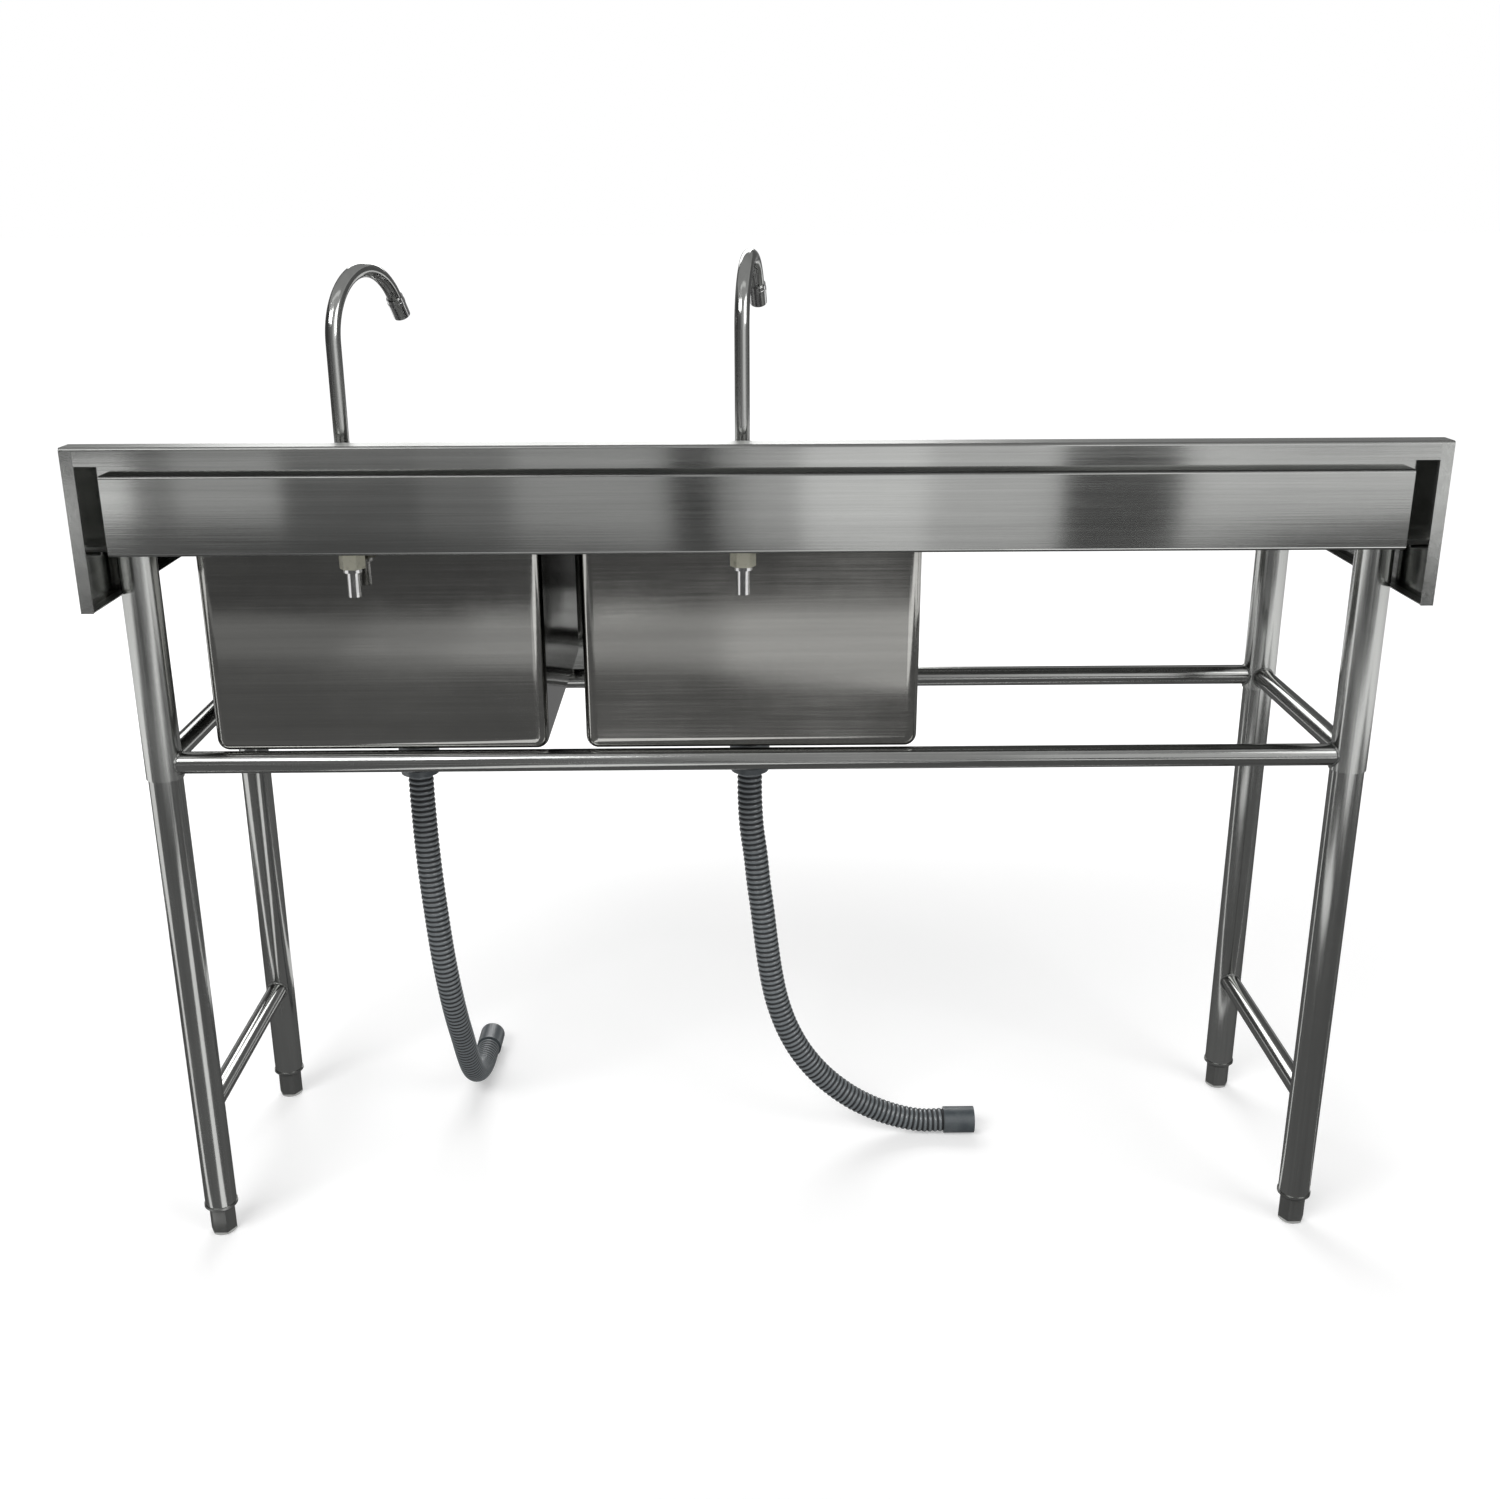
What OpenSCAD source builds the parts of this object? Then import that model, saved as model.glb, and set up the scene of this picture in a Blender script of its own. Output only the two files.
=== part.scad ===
// Stainless steel double-bowl pot sink on a tube stand.
// Millimetres, +Z up. +Y is the rear, where the taps stand, and +X is the user's right.
// The origin is on the floor, at the centre of the worktop's outline.

/* [Worktop] */
// Width of the worktop over its side panels
top_w = 1400; // [1330:10:1600]
// Depth of the worktop from front rim to rear lip
top_d = 530; // [520:5:600]
// Height of the deck's top face above the floor
deck_z = 880; // [860:5:950]
// Thickness of the folded sheet
sheet_t = 1.2; // [0.8:0.1:2]
// Inside radius of the folds
fold_r = 2; // [1:0.5:3]
// Height of the front rim and side panels below the deck's top face
rim_drop = 58; // [50:1:70]
// Width of the return at the foot of the rim
rim_return = 12; // [8:1:16]

/* [Upstand] */
// Height of the rear upstand above the deck
upstand_h = 112; // [100:2:125]
// Depth of the upstand from its splash face to its rear lip
upstand_t = 30; // [26:1:34]
// Height of the rear lip
lip_h = 19; // [14:1:22]
// Radius of the cove between deck and upstand
cove_r = 8; // [4:1:10]
// Width of the side panel's rear flange
flange_w = 13; // [10:1:16]
// Height of the stiffening channel on the upstand's back
channel_h = 83; // [70:1:83]
// Setback of the stiffening channel behind the lip's face
channel_in = 10; // [6:1:14]
// Distance from the channel's end to the side panel's outer face
channel_end = 32; // [26:1:50]

/* [Front skirt] */
// Height of the deep skirt's lower edge above the floor
skirt_z = 600; // [590:5:640]
// Distance of the skirt's left end beyond the left bowl
skirt_over = 20; // [10:1:30]
// Width of the skirt's edge returns
skirt_return = 15; // [10:1:20]

/* [Bowls] */
// Outside width of each bowl
bowl_w = 374; // [340:2:380]
// Height of the bowls' flat bottom above the floor
bowl_z = 637; // [637:1:680]
// Wall thickness of the bowls
bowl_t = 1.2; // [0.8:0.1:2]
// Outside radius of the bowls' corners and bottom edges
bowl_r = 14; // [8:1:24]
// Gap between the two bowls
bowl_gap = 42; // [36:1:50]
// Distance from the right bowl to the right edge of the worktop
bowl_margin = 89; // [84:1:100]
// Distance from the bowls' front wall to the front edge of the worktop
bowl_front = 40; // [36:1:60]
// Distance from the bowls' rear wall to the rear edge of the worktop
bowl_back = 94; // [90:1:100]
// Depth of the pressed ring round the drain hole
dish_h = 3; // [2:0.5:4]
// Diameter of the pressed ring round the drain hole
dish_d = 124; // [120:1:140]

/* [Stand] */
// Distance from the leg's centre to the side of the worktop
leg_inset_x = 26; // [23:1:50]
// Distance from the leg's centre to the front or rear edge of the worktop
leg_inset_y = 102.5; // [90:0.5:120]
// Outside diameter of the legs
leg_d = 38.1; // [36:0.1:40]
// Wall thickness of the tubes
tube_t = 1.2; // [1:0.1:2]
// Outside diameter of the upper leg sleeves
sleeve_d = 41.4; // [41.3:0.1:43]
// Height of the sleeves' lower ends above the floor
sleeve_z = 606; // [590:1:608]
// Length of leg that is pushed into its sleeve
leg_insert = 60; // [40:5:100]
// Outside diameter of the rails
rail_d = 25.4; // [20:0.1:26]
// Height of the upper rails' centre line above the floor
rail_z = 623; // [620:1:623]
// Height of the lower crossbars' centre line above the floor
crossbar_z = 173; // [120:1:300]
// Width of the stiffeners below the deck
stiffener_w = 42; // [40:1:44]
// Height of the stiffeners below the deck
stiffener_h = 14; // [10:1:14]

/* [Feet] */
// Width across the flats of the foot's hexagon
foot_af = 28; // [24:0.5:29]
// Height of the foot's hexagon
foot_h = 36; // [28:1:40]
// Diameter of the foot's stud
stud_d = 12; // [10:0.5:16]
// Length of the foot's stud
stud_l = 45; // [40:1:60]
// Diameter of the collar's shoulder at the leg's end
collar_d = 40.4; // [40.2:0.1:42]
// Height of the collar's shoulder
collar_h = 6; // [4:1:12]
// Length of the collar's plug inside the leg
collar_plug = 24; // [16:1:30]

/* [Taps] */
// Distance from the tap's centre to the rear edge of the worktop
tap_back = 67; // [64:1:72]
// Sideways distance from the bowl's centre to its tap
tap_off = 9; // [-20:1:20]
// Diameter of the tap's base flange
tap_base_d = 44; // [36:1:46]
// Diameter of the tap's body
tap_body_d = 28; // [24:1:30]
// Height of the tap's body above its gasket
tap_body_h = 72; // [66:1:76]
// Height of the handle's axis above the tap's gasket
handle_up = 36; // [30:1:40]
// Length of the handle from its axis to its tip
handle_l = 48; // [40:1:60]
// Diameter of the hole for the tap's shank
tap_hole_d = 21.4; // [21:0.1:23]
// Diameter of the tap's shank
shank_d = 20.6; // [18:0.1:20.8]
// Diameter of the tap's inlet tail
tail_d = 14; // [12:0.5:16]
// Distance from the deck's top face to the inlet tail's end
tail_drop = 57; // [50:1:80]
// Diameter of the spout tube
spout_d = 15.6; // [14:0.1:16]
// Wall thickness of the spout tube
spout_t = 1; // [0.8:0.1:1.5]
// Bend radius of the gooseneck
neck_r = 69; // [60:1:90]
// Turn of the gooseneck from upright to its outlet
neck_turn = 146; // [120:1:160]
// Height of the bend's centre above the deck for the left tap
left_neck_up = 219; // [180:1:240]
// Height of the bend's centre above the deck for the right tap
right_neck_up = 207; // [180:1:240]
// Swivel of the left spout from square to the upstand
left_swivel = -8; // [-30:1:30]
// Swivel of the right spout from square to the upstand
right_swivel = -19; // [-30:1:30]
// Length of the aerator
aerator_l = 24; // [16:1:30]
// Diameter of the aerator
aerator_d = 18.6; // [18:0.1:22]
// Height of the plastic locknut
locknut_h = 25; // [16:1:28]
// Width across the flats of the plastic locknut
locknut_af = 24; // [23:0.5:28]

/* [Drains] */
// Diameter of the strainer's flange in the bowl
strainer_d = 112; // [106:1:116]
// Outside diameter of the strainer's cup
cup_d = 86; // [80:1:90]
// Depth of the strainer's cup below the pressed ring
cup_h = 50; // [46:1:56]
// Height of the strainer's lock ring
ring_h = 12; // [8:1:16]
// Diameter of the lift-out basket
basket_d = 74; // [66:1:74]
// Depth of the lift-out basket
basket_h = 40; // [30:1:44]
// Height of the hose collar's lower face above the floor
collar_z = 542; // [536:1:546]
// Diameter of the hose collar's lower flange
hose_collar_d = 47; // [44:1:52]

/* [Waste hoses] */
// Outside diameter of the hoses over their ribs
hose_d = 32; // [30:0.5:34]
// Bore of the hoses
hose_bore = 26; // [24:0.5:27]
// Depth of the grooves between the ribs
rib_depth = 2; // [1:0.1:2]
// Distance from one rib to the next
rib_pitch = 6; // [6:0.5:12]
// Outside diameter of the plain cuff at the hose's end
cuff_d = 36; // [34:0.5:38]
// Length of the plain cuff
cuff_l = 42; // [30:1:50]

/* [Hidden] */
$fn = 48;
steel = [0.62, 0.63, 0.63];
bright_steel = [0.72, 0.73, 0.73];
dark_steel = [0.45, 0.46, 0.46];
chrome = [0.8, 0.81, 0.82];
brass = [0.72, 0.6, 0.35];
rubber = [0.1, 0.1, 0.1];
ivory = [0.86, 0.84, 0.76];
hose_grey = [0.33, 0.36, 0.37];
// Gap that is left between curved faces of pieces that meet
seat_gap = 0.3;
// Radial clearance of pieces that turn or slide in each other
run_gap = 0.08;
// Overlap of shapes within one piece
eps = 0.01;

side_x = top_w / 2;
rear_y = top_d / 2;
front_y = -rear_y;
under_z = deck_z - sheet_t;
rim_z = deck_z - rim_drop;
top_z = deck_z + upstand_h;
bend_r = fold_r + sheet_t;
lip_top = top_z - bend_r;
splash_y = rear_y - upstand_t;
leg_x = side_x - leg_inset_x;
leg_y = rear_y - leg_inset_y;
bowl_d = top_d - bowl_front - bowl_back;
right_bowl_x = side_x - bowl_margin - bowl_w / 2;
left_bowl_x = right_bowl_x - bowl_w - bowl_gap;
bowl_y = rear_y - bowl_back - bowl_d / 2;
tap_y = rear_y - tap_back;
leg_top = sleeve_z + leg_insert;
leg_foot = foot_h + collar_h;
sleeve_bore = leg_d + 2 * seat_gap;

// Outline of a folded sheet

function unit(v) = v / norm(v);
function turn_left(v) = [-v[1], v[0]];

// Points of a path with corner i rounded by radius r[i], in n steps
function round_path(p, r, n = 5) = [
    for (i = [0 : len(p) - 1])
        if (i == 0 || i == len(p) - 1) p[i]
        else let (
            a = unit(p[i - 1] - p[i]),
            b = unit(p[i + 1] - p[i]),
            half = acos(a * b) / 2,
            cut = r[i] / tan(half),
            centre = p[i] + unit(a + b) * r[i] / sin(half),
            start = p[i] + a * cut - centre,
            end = p[i] + b * cut - centre
        ) for (k = [0 : n]) centre + r[i] * unit(start * (n - k) + end * k)
];

// The same fold radius at every corner of path p
function same_bends(p) = [for (point = p) bend_r];

// Offset of a path to its left, mitred
function offset_path(p, t) = [
    for (i = [0 : len(p) - 1]) let (
        a = unit(p[max(i, 1)] - p[max(i, 1) - 1]),
        b = unit(p[min(i + 1, len(p) - 1)] - p[min(i + 1, len(p) - 1) - 1]),
        m = unit(turn_left(a) + turn_left(b))
    ) p[i] + m * t / (m * turn_left(a))
];

// A sheet folded along path p, thickened to the path's left
module folded(p, t) {
    other = offset_path(p, t);
    polygon(concat(p, [for (i = [len(other) - 1 : -1 : 0]) other[i]]));
}

// Extrudes a Y-Z profile along X from x0 to x1
module along_x(x0, x1) {
    translate([x0, 0, 0]) rotate([90, 0, 90]) linear_extrude(x1 - x0) children();
}

// Extrudes an X-Z profile along Y from y0 to y1
module along_y(y0, y1) {
    translate([0, y1, 0]) rotate([90, 0, 0]) linear_extrude(y1 - y0) children();
}

// Rounded rectangle, made of bars and discs
module rounded_plan(w, d, r) {
    square([w - 2 * r, d], center = true);
    square([w, d - 2 * r], center = true);
    for (x = [-1, 1], y = [-1, 1]) translate([x * (w / 2 - r), y * (d / 2 - r)]) circle(r);
}

// A tub with rounded upright corners and bottom edges, open shape for adding or cutting
module tub(w, d, h, r) {
    translate([0, 0, r]) linear_extrude(h - r) rounded_plan(w, d, r);
    translate([-w / 2 + r, -d / 2 + r, 0]) cube([w - 2 * r, d - 2 * r, r + eps]);
    x_edge = w / 2 - r;
    y_edge = d / 2 - r;
    for (s = [-1, 1]) {
        translate([-x_edge, s * y_edge, r]) rotate([0, 90, 0]) cylinder(h = 2 * x_edge, r = r);
        translate([s * x_edge, y_edge, r]) rotate([90, 0, 0]) cylinder(h = 2 * y_edge, r = r);
        for (t = [-1, 1]) translate([s * x_edge, t * y_edge, r]) sphere(r);
    }
}

module pipe(h, d, t) {
    difference() {
        cylinder(h = h, d = d);
        translate([0, 0, -1]) cylinder(h = h + 2, d = d - 2 * t);
    }
}

// Worktop

// The deck, front rim, upstand and rear lip are one folded sheet
top_path = round_path([
    [front_y + rim_return, rim_z],
    [front_y, rim_z],
    [front_y, deck_z],
    [splash_y, deck_z],
    [splash_y, top_z],
    [rear_y, top_z],
    [rear_y, top_z - lip_h],
], [0, bend_r, bend_r, cove_r, bend_r, bend_r, 0]);

module bowl_opening(x) {
    translate([x, bowl_y, under_z - 1]) linear_extrude(sheet_t + 2)
        rounded_plan(bowl_w - 2 * bowl_t, bowl_d - 2 * bowl_t, bowl_r - bowl_t);
}

module sink_top() color(steel) difference() {
    along_x(-side_x + sheet_t, side_x - sheet_t) folded(top_path, -sheet_t);
    for (x = [left_bowl_x, right_bowl_x]) {
        bowl_opening(x);
        translate([x + tap_off, tap_y, under_z - 1]) cylinder(h = sheet_t + 2, d = tap_hole_d);
    }
    // The side panels' rear flanges take the ends of the lip
    for (x = [-side_x, side_x - flange_w]) translate([x, rear_y - 2 * sheet_t, top_z - lip_h - 1])
        cube([flange_w, 3 * sheet_t, lip_top - top_z + lip_h + 1]);
}

// Side panel with the end of the upstand, a rear flange and a lower return notched round the sleeves
module side_panel(s) color(bright_steel) {
    side = round_path([
        [front_y, rim_z],
        [front_y, deck_z],
        [splash_y, deck_z],
        [splash_y, top_z],
        [rear_y, top_z],
        [rear_y, rim_z],
    ], [0, bend_r, cove_r, bend_r, bend_r, 0]);
    mirror([s < 0 ? 1 : 0, 0, 0]) {
        along_x(side_x - sheet_t, side_x) polygon(side);
        translate([side_x - flange_w, rear_y - sheet_t, rim_z])
            cube([flange_w - sheet_t + eps, sheet_t, lip_top - rim_z]);
        difference() {
            translate([side_x - rim_return, front_y + rim_return + seat_gap, rim_z])
                cube([rim_return - sheet_t + eps, top_d - rim_return - seat_gap - sheet_t + eps, sheet_t]);
            for (y = [-leg_y, leg_y]) translate([leg_x, y, rim_z - 1])
                cylinder(h = sheet_t + 2, d = sleeve_d + 2 * seat_gap);
        }
    }
}

module left_side_panel() side_panel(-1);
module right_side_panel() side_panel(1);

// Channel on the upstand's back, open towards the splash face
module upstand_channel() color(steel) {
    back = splash_y + sheet_t;
    face = rear_y - channel_in;
    path = [[back, under_z], [face, under_z], [face, under_z + channel_h], [back, under_z + channel_h]];
    along_x(-side_x + channel_end, side_x - channel_end) folded(round_path(path, same_bends(path)), sheet_t);
}

// Deep panel in front of the bowls, flush with the rim
module front_skirt() color(steel) {
    x0 = left_bowl_x - bowl_w / 2 - skirt_over;
    x1 = side_x;
    path = [
        [front_y + rim_return, rim_z],
        [front_y, rim_z],
        [front_y, skirt_z],
        [front_y + skirt_return, skirt_z],
    ];
    along_x(x0, x1) folded(round_path(path, same_bends(path)), sheet_t);
    for (x = [x0, x1 - sheet_t]) translate([x, front_y + sheet_t - eps, skirt_z + sheet_t - eps])
        cube([sheet_t, skirt_return - sheet_t, rim_z - skirt_z - 2 * sheet_t + 2 * eps]);
}

// A bowl with rounded corners and a pressed ring round its drain
module bowl(x) color(dark_steel) translate([x, bowl_y, bowl_z]) difference() {
    union() {
        tub(bowl_w, bowl_d, under_z - bowl_z, bowl_r);
        translate([0, 0, -dish_h]) cylinder(h = dish_h + eps, d = dish_d);
    }
    translate([0, 0, bowl_t])
        tub(bowl_w - 2 * bowl_t, bowl_d - 2 * bowl_t, under_z - bowl_z, bowl_r - bowl_t);
    translate([0, 0, -dish_h + bowl_t]) cylinder(h = dish_h + eps, d = dish_d - 2 * bowl_t);
    translate([0, 0, -dish_h - 1]) cylinder(h = dish_h + bowl_t + 2, d = cup_d + 2 * seat_gap);
}

module left_bowl() bowl(left_bowl_x);
module right_bowl() bowl(right_bowl_x);

// Channel that stiffens the deck from below, front to rear
module stiffener(x) color(steel) {
    w = stiffener_w / 2;
    low_z = under_z - stiffener_h;
    path = [[x - w, under_z], [x - w, low_z], [x + w, low_z], [x + w, under_z]];
    along_y(front_y + 2 * rim_return, leg_y + sleeve_d / 2)
        folded(round_path(path, same_bends(path)), sheet_t);
}

module left_end_stiffener() stiffener(-leg_x);
module right_end_stiffener() stiffener(leg_x);
module drainboard_stiffener() stiffener((left_bowl_x - bowl_w / 2 - leg_x) / 2);
module bowl_edge_stiffener() stiffener(left_bowl_x - bowl_w / 2 - stiffener_w);

// Stand

module sleeve(sx, sy) color(bright_steel) {
    translate([sx * leg_x, sy * leg_y, sleeve_z]) difference() {
        cylinder(h = under_z - stiffener_h - sleeve_z, d = sleeve_d);
        translate([0, 0, -1]) cylinder(h = under_z, d = sleeve_bore);
    }
}

module rear_left_sleeve() sleeve(-1, 1);
module rear_right_sleeve() sleeve(1, 1);
module front_left_sleeve() sleeve(-1, -1);
module front_right_sleeve() sleeve(1, -1);

// A tube along Z between two posts of diameter post_d along X, its ends coped to them
module coped_tube(length, post_d) {
    difference() {
        translate([0, 0, -length / 2]) pipe(length, rail_d, tube_t);
        for (s = [-1, 1]) translate([-rail_d, 0, s * length / 2]) rotate([0, 90, 0])
            cylinder(h = 2 * rail_d, d = post_d + 2 * seat_gap);
    }
}

module long_rail(sy) color(bright_steel)
    translate([0, sy * leg_y, rail_z]) rotate([0, 90, 0]) coped_tube(2 * leg_x, sleeve_d);

module cross_tube(sx, z, post_d) color(bright_steel)
    translate([sx * leg_x, 0, z]) rotate([90, 0, 0]) rotate([0, 0, 90]) coped_tube(2 * leg_y, post_d);

module rear_rail() long_rail(1);
module front_rail() long_rail(-1);
module left_side_rail() cross_tube(-1, rail_z, sleeve_d);
module right_side_rail() cross_tube(1, rail_z, sleeve_d);
module left_crossbar() cross_tube(-1, crossbar_z, leg_d);
module right_crossbar() cross_tube(1, crossbar_z, leg_d);

module leg(sx, sy) color(bright_steel)
    translate([sx * leg_x, sy * leg_y, leg_foot]) pipe(leg_top - leg_foot, leg_d, tube_t);

module rear_left_leg() leg(-1, 1);
module rear_right_leg() leg(1, 1);
module front_left_leg() leg(-1, -1);
module front_right_leg() leg(1, -1);

collar_slope = 3;
foot_slope = 2;
foot_taper = 1;

// Four inserts that close the legs and carry the feet's studs
module foot_collars() color(dark_steel)
    for (sx = [-1, 1], sy = [-1, 1]) translate([sx * leg_x, sy * leg_y, foot_h]) difference() {
        plug_r = leg_d / 2 - tube_t - seat_gap;
        rotate_extrude() polygon([
            [0, 0],
            [collar_d / 2 - collar_slope, 0],
            [collar_d / 2, collar_slope],
            [collar_d / 2, collar_h],
            [plug_r, collar_h],
            [plug_r, collar_h + collar_plug],
            [0, collar_h + collar_plug],
        ]);
        translate([0, 0, -1]) cylinder(h = collar_h + collar_plug + 2, d = stud_d + 2 * run_gap);
    }

// Hexagonal levelling foot with its stud
module foot(sx, sy) color(dark_steel) translate([sx * leg_x, sy * leg_y, 0]) {
    hex_d = foot_af / cos(30);
    intersection() {
        cylinder(h = foot_h, d = hex_d, $fn = 6);
        rotate_extrude($fn = 48) polygon([
            [0, 0],
            [foot_af / 2 - foot_taper, 0],
            [hex_d / 2 + eps, foot_slope],
            [hex_d / 2 + eps, foot_h],
            [0, foot_h],
        ]);
    }
    translate([0, 0, foot_h - eps]) cylinder(h = stud_l, d = stud_d);
}

module rear_left_foot() foot(-1, 1);
module rear_right_foot() foot(1, 1);
module front_left_foot() foot(-1, -1);
module front_right_foot() foot(1, -1);

// Taps

gasket_h = 2;
gasket_in = 1;
base_h = 3;
base_slope = 5;
body_edge = 3;
shank_over = 4;
shank_l = sheet_t + locknut_h + shank_over;
gland_h = 12;
gland_d = 24;
gland_edge = 3;
spout_seat = 26;
boss_d = 20;
boss_l = 19;
bonnet_d = 12;
bonnet_h = 2;
stem_d = 7;
stem_l = 10;
water_d = 9;
hub_d = 17;
hub_l = 12;
lever_t = 6;
lever_w = 10;
lever_neck = 8;
nut_flange_d = 34;
nut_flange_h = 5;
ring_up = 5;
ring_t = 3;
ring_out = 0.4;
spout_play = 1;

// Moves children to the tap that stands behind the bowl at x
module at_tap(x) translate([x + tap_off, tap_y, deck_z]) children();

module tap_gasket(x) color(rubber) at_tap(x)
    pipe(gasket_h, tap_base_d - 2 * gasket_in, (tap_base_d - tap_hole_d) / 2 - gasket_in);

module tap_body(x) color(chrome) at_tap(x) difference() {
    union() {
        translate([0, 0, gasket_h]) rotate_extrude() polygon([
            [0, 0],
            [tap_base_d / 2, 0],
            [tap_base_d / 2, base_h],
            [tap_body_d / 2, base_h + base_slope],
            [tap_body_d / 2, tap_body_h - body_edge],
            [tap_body_d / 2 - body_edge, tap_body_h],
            [0, tap_body_h],
        ]);
        translate([0, 0, -shank_l]) cylinder(h = shank_l + gasket_h + 1, d = shank_d);
        translate([0, 0, -tail_drop]) cylinder(h = tail_drop, d = tail_d);
        translate([0, 0, gasket_h + handle_up]) rotate([90, 0, 0]) cylinder(h = boss_l, d = boss_d);
    }
    translate([0, 0, -tail_drop - 1]) cylinder(h = tail_drop + gasket_h + handle_up + 1, d = water_d);
    translate([0, 0, gasket_h + handle_up]) {
        cylinder(h = tap_body_h, d = water_d);
        rotate([90, 0, 0]) cylinder(h = boss_l + 1, d = bonnet_d + 2 * seat_gap);
    }
    translate([0, 0, gasket_h + tap_body_h - spout_seat])
        cylinder(h = tap_body_h, d = spout_d + 2 * run_gap);
}

// Quarter-turn valve, pushed into the body's boss
module tap_cartridge(x) color(brass) at_tap(x) translate([0, 0, gasket_h + handle_up]) rotate([90, 0, 0]) {
    translate([0, 0, water_d / 2 + 1]) cylinder(h = boss_l - water_d / 2 - 1 + seat_gap + eps, d = bonnet_d);
    translate([0, 0, boss_l + seat_gap]) cylinder(h = bonnet_h, d = boss_d);
    translate([0, 0, boss_l]) cylinder(h = bonnet_h + stem_l, d = stem_d);
}

// Lever handle, closed to the right
module tap_handle(x) color(chrome) at_tap(x)
    translate([0, -boss_l - bonnet_h - 2 * seat_gap, gasket_h + handle_up]) rotate([90, 0, 0]) difference() {
        tip = handle_l - lever_w / 2;
        union() {
            cylinder(h = hub_l, d = hub_d);
            translate([0, 0, (hub_l - lever_t) / 2]) linear_extrude(lever_t) polygon([
                [0, -hub_d / 2 + 2],
                [tip, -lever_neck / 2],
                [tip, lever_neck / 2],
                [0, hub_d / 2 - 2],
            ]);
            translate([tip, 0, (hub_l - lever_t) / 2]) cylinder(h = lever_t, d = lever_w);
        }
        translate([0, 0, -1]) cylinder(h = stem_l + 1, d = stem_d + 2 * run_gap);
    }

// Nut that holds the spout in the body
module tap_gland(x) color(chrome) at_tap(x) translate([0, 0, gasket_h + tap_body_h]) difference() {
    rotate_extrude() polygon([
        [0, 0],
        [gland_d / 2, 0],
        [gland_d / 2, gland_h - gland_edge],
        [gland_d / 2 - gland_edge, gland_h],
        [0, gland_h],
    ]);
    translate([0, 0, -1]) cylinder(h = gland_h + 2, d = spout_d + 2 * run_gap);
}

module neck_section() difference() {
    circle(d = spout_d);
    circle(d = spout_d - 2 * spout_t);
}

// Moves children to the gooseneck's outlet, with +Z along the flow
module at_outlet(up) translate([0, -neck_r, up]) rotate([neck_turn - 90, 0, 0]) translate([0, 0, neck_r])
    rotate([90, 0, 0]) children();

// Gooseneck spout, its riser seated in the body
module tap_spout(x, up, swivel) color(bright_steel) at_tap(x) rotate([0, 0, swivel]) {
    foot = gasket_h + tap_body_h - spout_seat + spout_play;
    translate([0, 0, foot]) pipe(up - foot, spout_d, spout_t);
    translate([0, -neck_r, up]) rotate([90, 0, 90]) rotate_extrude(angle = neck_turn, $fn = 96)
        translate([neck_r, 0]) neck_section();
}

module tap_aerator(x, up, swivel) color(chrome) at_tap(x) rotate([0, 0, swivel]) at_outlet(up) difference() {
    union() {
        translate([0, 0, seat_gap]) cylinder(h = aerator_l, d = aerator_d);
        translate([0, 0, ring_up]) cylinder(h = ring_t, d = aerator_d + 2 * ring_out);
    }
    translate([0, 0, ring_up]) cylinder(h = aerator_l, d = spout_d - 2 * spout_t);
    cylinder(h = aerator_l, d = water_d);
}

// Plastic locknut below the deck, a flange on a hexagon
module tap_locknut(x) color(ivory) at_tap(x) translate([0, 0, -sheet_t - locknut_h]) difference() {
    union() {
        cylinder(h = locknut_h - nut_flange_h + eps, d = locknut_af / cos(30), $fn = 6);
        translate([0, 0, locknut_h - nut_flange_h]) cylinder(h = nut_flange_h, d = nut_flange_d);
    }
    translate([0, 0, -1]) cylinder(h = locknut_h + 2, d = shank_d + 2 * run_gap);
}

module left_tap_gasket() tap_gasket(left_bowl_x);
module left_tap_body() tap_body(left_bowl_x);
module left_tap_cartridge() tap_cartridge(left_bowl_x);
module left_tap_handle() tap_handle(left_bowl_x);
module left_tap_gland() tap_gland(left_bowl_x);
module left_tap_spout() tap_spout(left_bowl_x, left_neck_up, left_swivel);
module left_tap_aerator() tap_aerator(left_bowl_x, left_neck_up, left_swivel);
module left_tap_locknut() tap_locknut(left_bowl_x);
module right_tap_gasket() tap_gasket(right_bowl_x);
module right_tap_body() tap_body(right_bowl_x);
module right_tap_cartridge() tap_cartridge(right_bowl_x);
module right_tap_handle() tap_handle(right_bowl_x);
module right_tap_gland() tap_gland(right_bowl_x);
module right_tap_spout() tap_spout(right_bowl_x, right_neck_up, right_swivel);
module right_tap_aerator() tap_aerator(right_bowl_x, right_neck_up, right_swivel);
module right_tap_locknut() tap_locknut(right_bowl_x);

// Drains

flange_h = 1.8;
flange_edge = 2;
cup_t = 2;
cup_slope = 8;
// Depth of the step that the basket hangs on, and its width
step_drop = 2;
step_w = 3;
outlet_d = 38;
outlet_l = 16;
outlet_bore = 30;
strainer_gasket_h = 2.5;
gasket_inset = 3;
grips = 8;
grip_d = 10;
basket_t = 1.5;
basket_slope = 10;
basket_gap = 0.6;
basket_inset = 2;
basket_lift = 0.02;
basket_hole_d = 5;
knob_d = 14;
knob_h = 6;
knob_stem_d = 5;
nut_wall = 6;
nut_over = 13;
nut_base = 3.7;
collar_wall = 2;
collar_lip = 1;
collar_flange_h = 7;
cup_low = -bowl_t - cup_h;
outlet_low = cup_low - outlet_l;

// Moves children to the drain of the bowl at x, at the seat of the strainer's flange
module at_drain(x) translate([x, bowl_y, bowl_z - dish_h + bowl_t]) children();

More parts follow.
